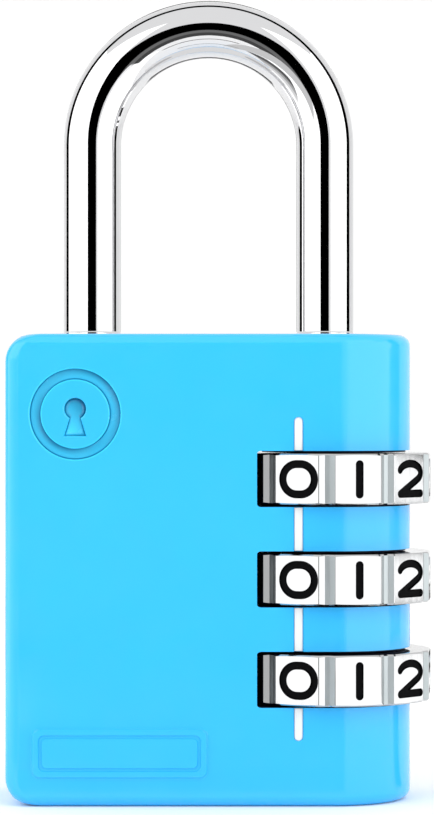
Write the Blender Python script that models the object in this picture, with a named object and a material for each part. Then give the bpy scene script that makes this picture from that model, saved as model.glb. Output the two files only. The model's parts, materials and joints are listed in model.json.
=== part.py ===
"""Three-dial combination padlock, shut, modelled as separate parts.

Metres, +Z up. The origin is the middle of the body's bottom face, the front faces -Y and the
dials are on the +X side. The dials and the clutch sleeves turn about a finned spindle, which hangs
on a swivel head inside the end of the shackle's heel leg.
"""
import math

import bpy
import bmesh
from mathutils import Matrix, Vector

MM = 0.001

# Body casting
BODY_LEFT = -17.55 * MM
BODY_RIGHT = 17.55 * MM
BODY_HEIGHT = 40.5 * MM
BODY_HALF_THICK = 6.9 * MM
LEFT_FRONT_RADIUS = 2.4 * MM      # the two left corners, seen from the front
LEFT_PLAN_RADIUS = 1.3 * MM       # the two upright left edges
EDGE_RADIUS = 1.0 * MM            # the edge round the top and bottom faces

# Shackle
ROD_RADIUS = 2.5 * MM
HEEL_X = 10.1 * MM
TOE_X = -10.3 * MM
BOW_CENTRE_Z = 57.1 * MM
TOE_END_Z = 34.9 * MM
HEEL_END_Z = 32.8 * MM
LEG_CLEARANCE = 0.2 * MM
SOCKET_FLOOR_Z = 34.0 * MM

# Spindle: its core runs down the dial axis, its neck and head stand on the heel leg's axis
DIAL_X = 10.85 * MM               # dial axis, close to the centre of the body's half-round side
CORE_RADIUS = 1.6 * MM
CORE_END_Z = 4.0 * MM
CORE_TOP_Z = 32.5 * MM
NECK_RADIUS = 0.6 * MM
HEAD_RADIUS = 1.0 * MM
HEAD_BOTTOM_Z = 34.2 * MM
HEAD_TOP_Z = 35.2 * MM
SWIVEL_GAP = 0.3 * MM

# Dials
DIAL_CENTRES_Z = (28.05 * MM, 19.47 * MM, 10.89 * MM)
DIAL_NAMES = ("top", "middle", "bottom")
DIAL_HALF_HEIGHT = 2.17 * MM
PAD_APOTHEM = 8.42 * MM
PAD_HALF_WIDTH = 1.99 * MM
PAD_BEVEL = 0.41 * MM
RIM_BEVEL = 0.1 * MM              # rim bevel in the middle of a pad, a little more at its corners
PAD_COUNT = 10
FIRST_PAD_DEG = -23.9             # digit 0, measured from the front towards +X
DIGIT_DEPTH = 0.45 * MM
DIGIT_STROKE = 0.37 * MM          # half of the stroke width
DIGIT_SHIFT = 0.15 * MM           # the digits stand a little to the right on their pads
SLOT_RADIUS = 9.69 * MM
SLOT_HALF_HEIGHT = 2.4 * MM

# Clutch sleeves
BORE_RADIUS = 4.65 * MM
BORE_TOP_Z = 32.5 * MM
SLEEVE_RADIUS = 3.9 * MM
SLEEVE_HALF_HEIGHT = 3.89 * MM
SLEEVE_BORE = 2.8 * MM
LEDGE_BORE = 1.9 * MM
LEDGE_BOTTOM = 1.65 * MM          # above the dial's centre
LEDGE_TOP = 2.85 * MM
KEY_RADIUS = 4.35 * MM
KEY_HALF_WIDTH = 0.45 * MM
DIAL_BORE = 4.2 * MM

# Index line, keyhole roundel and blank raised plate on the front face
INDEX_X = 7.6 * MM
INDEX_HALF_WIDTH = 0.41 * MM
INDEX_BOTTOM_Z = 5.6 * MM
INDEX_TOP_Z = 33.4 * MM
INDEX_DEPTH = 0.3 * MM
ROUNDEL_X = -11.5 * MM
ROUNDEL_Z = 33.6 * MM
ROUNDEL_OUTER = 3.9 * MM
ROUNDEL_INNER = 2.95 * MM
MARK_DEPTH = 0.4 * MM
PLATE_X = -7.7 * MM
PLATE_Z = 4.6 * MM
PLATE_HALF_X = 7.5 * MM
PLATE_HALF_Z = 2.1 * MM
PLATE_HEIGHT = 0.25 * MM
PLATE_GROOVE = (0.55 * MM, 0.85 * MM, 0.15 * MM)   # its border groove: two insets and a depth

# Detent leaves
LEAF_X = 0.65 * MM
LEAF_THICKNESS = 0.25 * MM


def clear_scene():
    for obj in list(bpy.data.objects):
        bpy.data.objects.remove(obj, do_unlink=True)


def make_material(name, colour, metallic, roughness):
    mat = bpy.data.materials.new(name)
    mat.use_nodes = True
    shader = mat.node_tree.nodes["Principled BSDF"]
    shader.inputs["Base Color"].default_value = (*colour, 1.0)
    shader.inputs["Metallic"].default_value = metallic
    shader.inputs["Roughness"].default_value = roughness
    mat.diffuse_color = (*colour, 1.0)
    return mat


def finish_mesh(bm, name, mat, origin=(0.0, 0.0, 0.0), smooth_deg=None):
    """Turn a bmesh in world coordinates into an object whose origin is at the given point."""
    bmesh.ops.recalc_face_normals(bm, faces=bm.faces)
    origin = Vector(origin)
    bmesh.ops.translate(bm, verts=bm.verts, vec=-origin)
    mesh = bpy.data.meshes.new(name)
    bm.to_mesh(mesh)
    bm.free()
    if mat is not None:
        mesh.materials.append(mat)
    obj = bpy.data.objects.new(name, mesh)
    obj.location = origin
    bpy.context.scene.collection.objects.link(obj)
    if smooth_deg is not None:
        for poly in mesh.polygons:
            poly.use_smooth = True
        mesh.set_sharp_from_angle(angle=math.radians(smooth_deg))
    return obj


def add_loft(bm, loops, closed=False):
    """Skin a stack of point loops of equal length, capped at both ends unless closed."""
    rings = [[bm.verts.new(point) for point in loop] for loop in loops]
    count = len(rings[0])
    pairs = list(zip(rings, rings[1:]))
    if closed:
        pairs.append((rings[-1], rings[0]))
    for low, high in pairs:
        for i in range(count):
            j = (i + 1) % count
            bm.faces.new((low[i], low[j], high[j], high[i]))
    if not closed:
        bm.faces.new(list(reversed(rings[0])))
        bm.faces.new(rings[-1])
    return rings


def circle(cx, cy, radius, z, segments, phase=0.0):
    points = []
    for i in range(segments):
        angle = phase + 2.0 * math.pi * i / segments
        points.append((cx + radius * math.cos(angle), cy + radius * math.sin(angle), z))
    return points


def add_lathe(bm, cx, cy, profile, segments, phase=0.0):
    """A solid of revolution about a vertical axis: profile is (radius, z), bottom to top."""
    return add_loft(bm, [circle(cx, cy, r, z, segments, phase) for r, z in profile])


def add_tube(bm, cx, cy, inner, outer, z0, z1, segments):
    """A plain washer: four circles skinned into a closed ring."""
    corners = ((outer, z0), (outer, z1), (inner, z1), (inner, z0))
    loops = [circle(cx, cy, r, z, segments) for r, z in corners]
    return add_loft(bm, loops, closed=True)


def add_box(bm, x0, x1, y0, y1, z0, z1):
    low = [(x0, y0, z0), (x1, y0, z0), (x1, y1, z0), (x0, y1, z0)]
    high = [(x, y, z1) for x, y, _ in low]
    return add_loft(bm, [low, high])


def cut(target, name, bm, operation="DIFFERENCE"):
    """Apply a boolean with a hidden tool object made from the given bmesh."""
    tool = finish_mesh(bm, name, None)
    tool.hide_render = True
    tool.display_type = "WIRE"
    tool.parent = target
    tool.matrix_parent_inverse = Matrix.Translation(-target.location)
    mod = target.modifiers.new(name, "BOOLEAN")
    mod.operation = operation
    mod.solver = "EXACT"
    mod.object = tool
    return tool


# ---------------------------------------------------------------- body casting

def edge_inset(distance, radius):
    """How far a rounded edge has drawn in at a distance from the face it runs into."""
    if distance >= radius:
        return 0.0
    return radius - math.sqrt(max(0.0, radius ** 2 - (radius - distance) ** 2))


def body_loop(z):
    """The body's plan outline at one height."""
    distance = min(z, BODY_HEIGHT - z)
    inset = edge_inset(distance, EDGE_RADIUS)
    left = BODY_LEFT + edge_inset(distance, LEFT_FRONT_RADIUS)
    half = BODY_HALF_THICK - inset
    corner = LEFT_PLAN_RADIUS
    centre_x = BODY_RIGHT - BODY_HALF_THICK
    points = []
    steps = 28
    for i in range(steps + 1):
        angle = math.radians(-90.0 + 180.0 * i / steps)
        points.append((centre_x + half * math.cos(angle), half * math.sin(angle), z))
    steps = 5
    for start, cy in ((90.0, half - corner), (180.0, corner - half)):
        for i in range(steps + 1):
            angle = math.radians(start + 90.0 * i / steps)
            x = left + corner + corner * math.cos(angle)
            points.append((x, cy + corner * math.sin(angle), z))
    return points


def keyhole(cx, cz):
    """A plain keyhole outline: a round head over a flared foot."""
    points = []
    for i in range(13):
        angle = math.radians(-60.0 + 300.0 * i / 12)
        points.append((cx + 0.95 * MM * math.cos(angle), 0.0, cz + 0.45 * MM + 0.95 * MM * math.sin(angle)))
    points.append((cx - 0.95 * MM, 0.0, cz - 1.9 * MM))
    points.append((cx + 0.95 * MM, 0.0, cz - 1.9 * MM))
    return points


def stadium(cx, half_width, z0, z1, y, steps=6):
    """An upright round-ended outline in the plane of the front face."""
    points = []
    for i in range(steps + 1):
        angle = math.pi * i / steps
        points.append((cx + half_width * math.cos(angle), y, z1 - half_width + half_width * math.sin(angle)))
    for i in range(steps + 1):
        angle = math.pi + math.pi * i / steps
        points.append((cx + half_width * math.cos(angle), y, z0 + half_width + half_width * math.sin(angle)))
    return points


def rounded_rect(cx, cz, half_x, half_z, radius, y, steps=4):
    points = []
    corners = ((1, 1, 0.0), (-1, 1, 90.0), (-1, -1, 180.0), (1, -1, 270.0))
    for sx, sz, start in corners:
        for i in range(steps + 1):
            angle = math.radians(start + 90.0 * i / steps)
            x = cx + sx * (half_x - radius) + radius * math.cos(angle)
            z = cz + sz * (half_z - radius) + radius * math.sin(angle)
            points.append((x, y, z))
    return points


def make_body(mat):
    levels = []
    steps = 4
    for i in range(steps + 1):
        levels.append(EDGE_RADIUS * (1.0 - math.cos(math.radians(90.0 * i / steps))))
    levels.append(1.5 * MM)
    levels.append(LEFT_FRONT_RADIUS)
    heights = levels + [BODY_HEIGHT - level for level in reversed(levels)]
    bm = bmesh.new()
    add_loft(bm, [body_loop(z) for z in heights])
    body = finish_mesh(bm, "body_casting", mat, smooth_deg=40.0)

    bm = bmesh.new()
    for centre in DIAL_CENTRES_Z:
        add_lathe(bm, DIAL_X, 0.0, ((SLOT_RADIUS, centre - SLOT_HALF_HEIGHT),
                                    (SLOT_RADIUS, centre + SLOT_HALF_HEIGHT)), 72)
    cut(body, "tool_dial_slots", bm)

    bm = bmesh.new()
    leg = ROD_RADIUS + LEG_CLEARANCE
    add_lathe(bm, DIAL_X, 0.0, ((5.3 * MM, -1.0 * MM), (5.3 * MM, 1.0 * MM), (BORE_RADIUS, 1.0 * MM),
                                (BORE_RADIUS, BORE_TOP_Z)), 40)
    cut(body, "tool_mechanism_bore", bm)

    bm = bmesh.new()
    add_lathe(bm, HEEL_X, 0.0, ((leg, BORE_TOP_Z - 0.4 * MM), (leg, 40.3 * MM), (3.1 * MM, 40.7 * MM),
                                (3.1 * MM, 42.0 * MM)), 40)
    cut(body, "tool_heel_hole", bm)

    bm = bmesh.new()
    add_lathe(bm, TOE_X, 0.0, ((leg, SOCKET_FLOOR_Z), (leg, 40.3 * MM), (3.1 * MM, 40.7 * MM),
                               (3.1 * MM, 42.0 * MM)), 40)
    cut(body, "tool_toe_socket", bm)

    bm = bmesh.new()
    for centre in DIAL_CENTRES_Z:
        add_box(bm, LEAF_X - 0.9 * MM, LEAF_X + 2.9 * MM, -4.3 * MM, 4.3 * MM,
                centre - 2.05 * MM, centre + 2.05 * MM)
    cut(body, "tool_detent_pockets", bm)

    bm = bmesh.new()
    front = -BODY_HALF_THICK
    outlines = (
        (stadium(INDEX_X, INDEX_HALF_WIDTH, INDEX_BOTTOM_Z, INDEX_TOP_Z, 0.0), INDEX_DEPTH),
        (keyhole(ROUNDEL_X, ROUNDEL_Z), MARK_DEPTH),
    )
    for outline, depth in outlines:
        near = [(x, front - 0.5 * MM, z) for x, _, z in outline]
        far = [(x, front + depth, z) for x, _, z in outline]
        add_loft(bm, [near, far])
    loops = []
    for radius, y in ((ROUNDEL_OUTER, -0.5 * MM), (ROUNDEL_OUTER, MARK_DEPTH),
                      (ROUNDEL_INNER, MARK_DEPTH), (ROUNDEL_INNER, -0.5 * MM)):
        loops.append([(ROUNDEL_X + x, front + y, ROUNDEL_Z + z) for x, z, _ in circle(0.0, 0.0, radius, 0.0, 32)])
    add_loft(bm, loops, closed=True)
    cut(body, "tool_front_marks", bm)

    bm = bmesh.new()
    plate = []
    for inset, y in ((0.0, 0.5 * MM), (0.0, -0.1 * MM), (0.15 * MM, -PLATE_HEIGHT)):
        outline = rounded_rect(PLATE_X, PLATE_Z, PLATE_HALF_X - inset, PLATE_HALF_Z - inset, 0.6 * MM, front + y)
        plate.append(outline)
    add_loft(bm, plate)
    cut(body, "tool_blank_plate", bm, "UNION")

    bm = bmesh.new()
    outer, inner, depth = PLATE_GROOVE
    loops = []
    for inset, y in ((outer, -0.5 * MM), (outer, depth - PLATE_HEIGHT), (inner, depth - PLATE_HEIGHT),
                     (inner, -0.5 * MM)):
        loops.append(rounded_rect(PLATE_X, PLATE_Z, PLATE_HALF_X - inset, PLATE_HALF_Z - inset,
                                  0.8 * MM - 0.5 * inset, front + y))
    add_loft(bm, loops, closed=True)
    cut(body, "tool_plate_groove", bm)
    return body


def make_index_marks(mat):
    """The white line: four bars sunk in the groove beside the dials."""
    gap = 0.05 * MM
    front = -BODY_HALF_THICK
    edges = [INDEX_TOP_Z]
    for centre in DIAL_CENTRES_Z:
        edges += [centre + SLOT_HALF_HEIGHT, centre - SLOT_HALF_HEIGHT]
    edges.append(INDEX_BOTTOM_Z)
    half = INDEX_HALF_WIDTH - gap
    marks = []
    for number in range(4):
        top = edges[2 * number] - gap
        bottom = edges[2 * number + 1] + gap
        outline = []
        if number == 0:
            outline += [(x, z) for x, _, z in stadium(0.0, half, bottom, top, 0.0)[:7]]
        else:
            outline += [(half, top), (-half, top)]
        if number == 3:
            outline += [(x, z) for x, _, z in stadium(0.0, half, bottom, top, 0.0)[7:]]
        else:
            outline += [(-half, bottom), (half, bottom)]
        near = [(INDEX_X + x, front + 0.08 * MM, z) for x, z in outline]
        far = [(x, front + INDEX_DEPTH - gap, z) for x, _, z in near]
        bm = bmesh.new()
        add_loft(bm, [near, far])
        origin = (INDEX_X, front, 0.5 * (top + bottom))
        marks.append(finish_mesh(bm, "index_mark_%d" % (number + 1), mat, origin))
    return marks


# ---------------------------------------------------------------- shackle

def make_shackle(mat):
    segments = 32
    bow = 0.5 * (HEEL_X - TOE_X)
    middle = 0.5 * (HEEL_X + TOE_X)
    chamfer = 0.5 * MM
    loops = [circle(TOE_X, 0.0, ROD_RADIUS - chamfer, TOE_END_Z, segments)]
    loops.append(circle(TOE_X, 0.0, ROD_RADIUS, TOE_END_Z + chamfer, segments))
    steps = 30
    for i in range(steps + 1):
        turn = math.pi * i / steps
        centre = Vector((middle - bow * math.cos(turn), 0.0, BOW_CENTRE_Z + bow * math.sin(turn)))
        frame = Matrix.Rotation(turn, 3, "Y")
        loop = []
        for x, y, _ in circle(0.0, 0.0, ROD_RADIUS, 0.0, segments):
            loop.append(centre + frame @ Vector((x, y, 0.0)))
        loops.append(loop)
    # The frame has turned half a circle by now, so the heel loops run the same way round. They end
    # in the pocket that takes the spindle's head.
    lip = NECK_RADIUS + SWIVEL_GAP
    pocket = HEAD_RADIUS + SWIVEL_GAP
    heel = (
        (ROD_RADIUS, HEEL_END_Z + 0.3 * MM),
        (ROD_RADIUS - 0.3 * MM, HEEL_END_Z),
        (lip, HEEL_END_Z),
        (lip, HEAD_BOTTOM_Z - SWIVEL_GAP),
        (pocket, HEAD_BOTTOM_Z - SWIVEL_GAP),
        (pocket, HEAD_TOP_Z + SWIVEL_GAP),
    )
    for radius, z in heel:
        loops.append([(HEEL_X - x, y, z) for x, y, _ in circle(0.0, 0.0, radius, 0.0, segments)])
    bm = bmesh.new()
    add_loft(bm, loops)
    return finish_mesh(bm, "shackle", mat, (HEEL_X, 0.0, BODY_HEIGHT), smooth_deg=35.0)


def make_spindle(mat):
    """The core with its three fins, and the swivel head the shackle lifts it by."""
    loops = []
    for radius, z in (
        (CORE_RADIUS - 0.2 * MM, CORE_END_Z),
        (CORE_RADIUS, CORE_END_Z + 0.2 * MM),
        (CORE_RADIUS, 4.6 * MM),
        (1.1 * MM, 4.6 * MM),
        (1.1 * MM, 5.5 * MM),
        (CORE_RADIUS, 5.5 * MM),
        (CORE_RADIUS, CORE_TOP_Z - 0.2 * MM),
        (CORE_RADIUS - 0.2 * MM, CORE_TOP_Z),
    ):
        loops.append(circle(DIAL_X, 0.0, radius, z, 32))
    for radius, z in (
        (NECK_RADIUS, CORE_TOP_Z),
        (NECK_RADIUS, HEAD_BOTTOM_Z),
        (HEAD_RADIUS, HEAD_BOTTOM_Z),
        (HEAD_RADIUS, HEAD_TOP_Z - 0.2 * MM),
        (HEAD_RADIUS - 0.2 * MM, HEAD_TOP_Z),
    ):
        loops.append(circle(HEEL_X, 0.0, radius, z, 32))
    bm = bmesh.new()
    add_loft(bm, loops)
    spindle = finish_mesh(bm, "spindle", mat, (DIAL_X, 0.0, CORE_END_Z), smooth_deg=35.0)

    bm = bmesh.new()
    for centre in DIAL_CENTRES_Z:
        top = centre + LEDGE_BOTTOM - 0.3 * MM
        add_box(bm, DIAL_X - 2.35 * MM, DIAL_X - 1.0 * MM, -0.75 * MM, 0.75 * MM, top - 1.4 * MM, top)
    cut(spindle, "tool_fins", bm, "UNION")
    return spindle


def make_retaining_ring(mat):
    """A snap ring, open towards +X."""
    inner = 1.3 * MM
    outer = 2.4 * MM
    z0 = 4.8 * MM
    z1 = 5.3 * MM
    loops = []
    steps = 22
    for i in range(steps + 1):
        angle = math.radians(35.0 + 290.0 * i / steps)
        c = math.cos(angle)
        s = math.sin(angle)
        loop = []
        for radius, z in ((inner, z0), (outer, z0), (outer, z1), (inner, z1)):
            loop.append((DIAL_X + radius * c, radius * s, z))
        loops.append(loop)
    bm = bmesh.new()
    add_loft(bm, loops)
    return finish_mesh(bm, "retaining_ring", mat, (DIAL_X, 0.0, z0), smooth_deg=35.0)


# ---------------------------------------------------------------- dials

def arc(cx, cy, radius, start, end, steps=3):
    points = []
    for i in range(steps + 1):
        angle = math.radians(start + (end - start) * i / steps)
        points.append((cx + radius * math.cos(angle), cy + radius * math.sin(angle)))
    return points


def rounded_loop(x0, x1, y0, y1, radius):
    points = arc(x1 - radius, y1 - radius, radius, 0.0, 90.0)
    points += arc(x0 + radius, y1 - radius, radius, 90.0, 180.0)
    points += arc(x0 + radius, y0 + radius, radius, 180.0, 270.0)
    points += arc(x1 - radius, y0 + radius, radius, 270.0, 360.0)
    return points


def digit_strokes(digit):
    """Centre lines of one digit in millimetres: a list of (points, is_closed)."""
    w = 1.39
    h = 1.24
    r = 0.85
    if digit == 0:
        return [(rounded_loop(-w, w, -h, h, 1.18), True)]
    if digit == 1:
        return [([(0.0, -h), (0.0, h)], False)]
    if digit == 2:
        points = [(w * x, h - 0.8 + 0.8 * z) for x, z in arc(0.0, 0.0, 1.0, 160.0, -52.0, 12)]
        corner = (-w + 0.1, -h)
        return [(points + [corner], False), ([corner, (w, -h)], False)]
    if digit == 3:
        upper = [(-w, h)] + arc(w - 0.6, h - 0.6, 0.6, 90.0, -90.0) + [(-0.45, 0.0)]
        lower = [(0.1, 0.0)] + arc(w - 0.6, -h + 0.6, 0.6, 90.0, -90.0) + [(-w, -h)]
        return [(upper, False), (lower, False)]
    if digit == 4:
        return [([(0.35, h), (-w, -0.45), (w, -0.45)], False), ([(0.75, 0.45), (0.75, -h)], False)]
    if digit == 5:
        points = [(w - 0.1, h), (-w + 0.1, h), (-w + 0.1, 0.25)] + arc(w - 0.72, -h + 0.72, 0.72, 90.0, -90.0)
        return [(points + [(-w, -h)], False)]
    if digit == 6:
        tail = [(w - 0.3, h)] + arc(-w + r, h - r, r, 90.0, 180.0) + [(-w, -0.4)]
        return [(rounded_loop(-w, w, -h, 0.28, 0.62), True), (tail, False)]
    if digit == 7:
        return [([(-w, h), (w, h), (-0.35, -h)], False)]
    if digit == 8:
        return [(rounded_loop(-w, w, -h, h, 0.75), True), ([(-w + 0.1, 0.0), (w - 0.1, 0.0)], False)]
    tail = [(w, 0.4)] + arc(w - r, -h + r, r, 0.0, -90.0) + [(-w + 0.3, -h)]
    return [(rounded_loop(-w, w, -0.28, h, 0.62), True), (tail, False)]


def offset_points(points, side, closed):
    """Points moved sideways by the stroke's half width, with mitred corners."""
    count = len(points)
    result = []
    for i in range(count):
        here = Vector(points[i])
        before = Vector(points[i - 1]) if (closed or i > 0) else None
        after = Vector(points[(i + 1) % count]) if (closed or i < count - 1) else None
        normals = []
        if before is not None and (here - before).length > 1e-9:
            d = (here - before).normalized()
            normals.append(Vector((-d.y, d.x)))
        if after is not None and (after - here).length > 1e-9:
            d = (after - here).normalized()
            normals.append(Vector((-d.y, d.x)))
        normal = sum(normals, Vector((0.0, 0.0))).normalized()
        scale = 1.0 / max(0.45, normal.dot(normals[0]))
        result.append(here + normal * (side * scale))
    return result


def clean_path(points, closed):
    kept = []
    for point in points:
        if not kept or (Vector(point) - Vector(kept[-1])).length > 1e-4:
            kept.append(point)
    if closed and (Vector(kept[0]) - Vector(kept[-1])).length < 1e-4:
        kept.pop()
    return kept


def add_stroke(bm, points, closed, place, near, far):
    """One stroke of a digit as a prism between two depths; place maps (u, v, r) to space."""
    half = DIGIT_STROKE / MM
    points = clean_path(points, closed)
    if closed:
        outer = offset_points(points, -half, True)
        inner = offset_points(points, half, True)
        loops = [[place(p, far) for p in outer], [place(p, near) for p in outer]]
        loops += [[place(p, near) for p in inner], [place(p, far) for p in inner]]
        add_loft(bm, loops, closed=True)
        return
    left = offset_points(points, half, False)
    right = offset_points(points, -half, False)
    outline = list(left)
    for tip, base in ((points[-1], points[-2]), (points[0], points[1])):
        d = (Vector(tip) - Vector(base)).normalized()
        heading = math.degrees(math.atan2(d.y, d.x))
        cap = arc(tip[0], tip[1], half, heading + 90.0, heading - 90.0, 4)[1:-1]
        outline += [Vector(p) for p in cap]
        if tip is points[-1]:
            outline += list(reversed(right))
    add_loft(bm, [[place(p, far) for p in outline], [place(p, near) for p in outline]])


def dial_outline(z, side=0.0, at_rim=False):
    """The ten-sided outline with a bevelled groove between pads and a small bevel round both rims."""
    points = []
    for pad in range(PAD_COUNT):
        angle = math.radians(FIRST_PAD_DEG + 360.0 * pad / PAD_COUNT)
        normal = Vector((math.sin(angle), -math.cos(angle)))
        right = Vector((math.cos(angle), math.sin(angle)))
        profile = [(-PAD_HALF_WIDTH - PAD_BEVEL, PAD_APOTHEM - PAD_BEVEL)]
        profile += [(PAD_HALF_WIDTH * f, PAD_APOTHEM) for f in (-1.0, -0.6, 0.0, 0.6, 1.0)]
        profile += [(PAD_HALF_WIDTH + PAD_BEVEL, PAD_APOTHEM - PAD_BEVEL)]
        for along, out in profile:
            point = normal * out + right * along
            bevel = RIM_BEVEL + 0.25 * max(0.0, point.length - PAD_APOTHEM)
            if at_rim:
                point = point * (1.0 - bevel / point.length)
            height = z if at_rim else z - side * bevel
            points.append((DIAL_X + point.x, point.y, height))
    return points


def keyway_outline(z):
    """The dial's bore with its ten keyways."""
    points = []
    half = math.asin(0.75 * MM / BORE_RADIUS)
    for key in range(PAD_COUNT):
        middle = math.radians(18.0 + 36.0 * key)
        for radius, angle in ((DIAL_BORE, -half * 1.1), (BORE_RADIUS, -half), (BORE_RADIUS, 0.0),
                              (BORE_RADIUS, half), (DIAL_BORE, half * 1.1)):
            a = middle + angle
            points.append((DIAL_X + radius * math.cos(a), radius * math.sin(a), z))
        a = middle + math.radians(18.0)
        points.append((DIAL_X + DIAL_BORE * math.cos(a), DIAL_BORE * math.sin(a), z))
    return points


def make_dial(index, mat):
    centre = DIAL_CENTRES_Z[index]
    low = centre - DIAL_HALF_HEIGHT
    high = centre + DIAL_HALF_HEIGHT
    bm = bmesh.new()
    add_loft(bm, [dial_outline(low, at_rim=True), dial_outline(low, -1.0),
                  dial_outline(high, 1.0), dial_outline(high, at_rim=True)])
    name = "dial_" + DIAL_NAMES[index]
    dial = finish_mesh(bm, name, mat, (DIAL_X, 0.0, centre))

    bm = bmesh.new()
    add_lathe(bm, DIAL_X, 0.0, ((BORE_RADIUS, low - 1.0 * MM), (BORE_RADIUS, centre)), 40)
    cut(dial, "tool_relief_" + name, bm)
    bm = bmesh.new()
    add_loft(bm, [keyway_outline(centre - 0.4 * MM), keyway_outline(high + 1.0 * MM)])
    cut(dial, "tool_keyways_" + name, bm)

    first = bmesh.new()
    second = bmesh.new()
    for digit in range(PAD_COUNT):
        angle = math.radians(FIRST_PAD_DEG + 36.0 * digit)
        normal = Vector((math.sin(angle), -math.cos(angle), 0.0))
        right = Vector((math.cos(angle), math.sin(angle), 0.0))
        base = Vector((DIAL_X, 0.0, centre))

        def place(point, out):
            along = DIGIT_SHIFT + point[0] * MM
            return base + normal * out + right * along + Vector((0.0, 0.0, point[1] * MM))

        for number, (points, closed) in enumerate(digit_strokes(digit)):
            target = first if number == 0 else second
            depth = DIGIT_DEPTH if number == 0 else DIGIT_DEPTH - 0.02 * MM
            add_stroke(target, points, closed, place, PAD_APOTHEM - depth, PAD_APOTHEM + 0.4 * MM)
    cut(dial, "tool_digits_a_" + name, first)
    cut(dial, "tool_digits_b_" + name, second)
    return dial


# ---------------------------------------------------------------- mechanism

def make_sleeve(index, mat):
    centre = DIAL_CENTRES_Z[index]
    low = centre - SLEEVE_HALF_HEIGHT
    high = centre + SLEEVE_HALF_HEIGHT
    bm = bmesh.new()
    profile = ((SLEEVE_BORE, low), (SLEEVE_RADIUS, low), (SLEEVE_RADIUS, high), (SLEEVE_BORE, high),
               (SLEEVE_BORE, centre + LEDGE_TOP), (LEDGE_BORE, centre + LEDGE_TOP),
               (LEDGE_BORE, centre + LEDGE_BOTTOM), (SLEEVE_BORE, centre + LEDGE_BOTTOM))
    add_loft(bm, [circle(DIAL_X, 0.0, r, z, 28) for r, z in profile], closed=True)
    name = "clutch_sleeve_" + DIAL_NAMES[index]
    sleeve = finish_mesh(bm, name, mat, (DIAL_X, 0.0, centre), smooth_deg=35.0)

    bm = bmesh.new()
    for side in (-1.0, 1.0):
        ends = sorted((side * 3.4 * MM, side * KEY_RADIUS))
        add_box(bm, DIAL_X - KEY_HALF_WIDTH, DIAL_X + KEY_HALF_WIDTH, ends[0], ends[1],
                centre + 0.3 * MM, centre + 1.85 * MM)
    cut(sleeve, "tool_keys_" + name, bm, "UNION")

    bm = bmesh.new()
    add_box(bm, DIAL_X - 2.75 * MM, DIAL_X - 1.2 * MM, -1.1 * MM, 1.1 * MM,
            centre + LEDGE_BOTTOM - 0.5 * MM, centre + LEDGE_TOP + 0.5 * MM)
    cut(sleeve, "tool_gate_" + name, bm)
    return sleeve


def make_washers(mat):
    gap = 0.2 * MM
    washers = []
    for index, name in ((0, "spacer_washer_top"), (1, "spacer_washer_middle")):
        top = DIAL_CENTRES_Z[index] - SLEEVE_HALF_HEIGHT - gap
        bottom = DIAL_CENTRES_Z[index + 1] + SLEEVE_HALF_HEIGHT + gap
        bm = bmesh.new()
        add_tube(bm, DIAL_X, 0.0, 2.85 * MM, 4.35 * MM, bottom, top, 32)
        washers.append(finish_mesh(bm, name, mat, (DIAL_X, 0.0, bottom), smooth_deg=35.0))
    top = DIAL_CENTRES_Z[2] - SLEEVE_HALF_HEIGHT - gap
    bm = bmesh.new()
    add_tube(bm, DIAL_X, 0.0, 2.85 * MM, 4.35 * MM, top - 0.5 * MM, top, 32)
    washers.append(finish_mesh(bm, "thrust_washer", mat, (DIAL_X, 0.0, top - 0.5 * MM), smooth_deg=35.0))
    return washers


def make_clutch_spring(mat):
    """A round-wire compression spring between the plug and the thrust washer."""
    wire = 0.25 * MM
    coil = 3.6 * MM
    z0 = 2.15 * MM
    z1 = 5.8 * MM
    turns = 4.0
    steps = 72
    sides = 8
    loops = []
    for i in range(steps + 1):
        t = i / steps
        angle = 2.0 * math.pi * turns * t
        centre = Vector((DIAL_X + coil * math.cos(angle), coil * math.sin(angle), z0 + (z1 - z0) * t))
        out = Vector((math.cos(angle), math.sin(angle), 0.0))
        loop = []
        for k in range(sides):
            a = 2.0 * math.pi * k / sides
            loop.append(centre + out * (wire * math.cos(a)) + Vector((0.0, 0.0, wire * math.sin(a))))
        loops.append(loop)
    bm = bmesh.new()
    add_loft(bm, loops)
    return finish_mesh(bm, "clutch_spring", mat, (DIAL_X, 0.0, z0), smooth_deg=50.0)


def make_bottom_plug(mat):
    bm = bmesh.new()
    add_lathe(bm, DIAL_X, 0.0, ((4.85 * MM, 0.1 * MM), (5.05 * MM, 0.3 * MM), (5.05 * MM, 0.8 * MM),
                                (4.4 * MM, 0.8 * MM), (4.4 * MM, 1.4 * MM), (4.2 * MM, 1.6 * MM)), 40)
    return finish_mesh(bm, "bottom_plug", mat, (DIAL_X, 0.0, 0.0), smooth_deg=35.0)


def make_detent_springs(mat):
    """One bowed leaf behind each dial, its flat middle facing a pad."""
    path = ((-0.2, -3.9), (-0.45, -3.5), (-0.35, -2.9), (0.25, -1.9), (0.45, -1.4),
            (0.45, 1.4), (0.25, 1.9), (-0.35, 2.9), (-0.45, 3.5), (-0.2, 3.9))
    springs = []
    for index, centre in enumerate(DIAL_CENTRES_Z):
        left = offset_points(path, 0.0, False)
        right = offset_points(path, -LEAF_THICKNESS / MM, False)
        outline = list(left) + list(reversed(right))
        bm = bmesh.new()
        low = [(LEAF_X + p.x * MM, p.y * MM, centre - 1.7 * MM) for p in outline]
        high = [(x, y, centre + 1.7 * MM) for x, y, _ in low]
        add_loft(bm, [low, high])
        name = "detent_spring_" + DIAL_NAMES[index]
        springs.append(finish_mesh(bm, name, mat, (LEAF_X, 0.0, centre), smooth_deg=35.0))
    return springs


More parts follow.
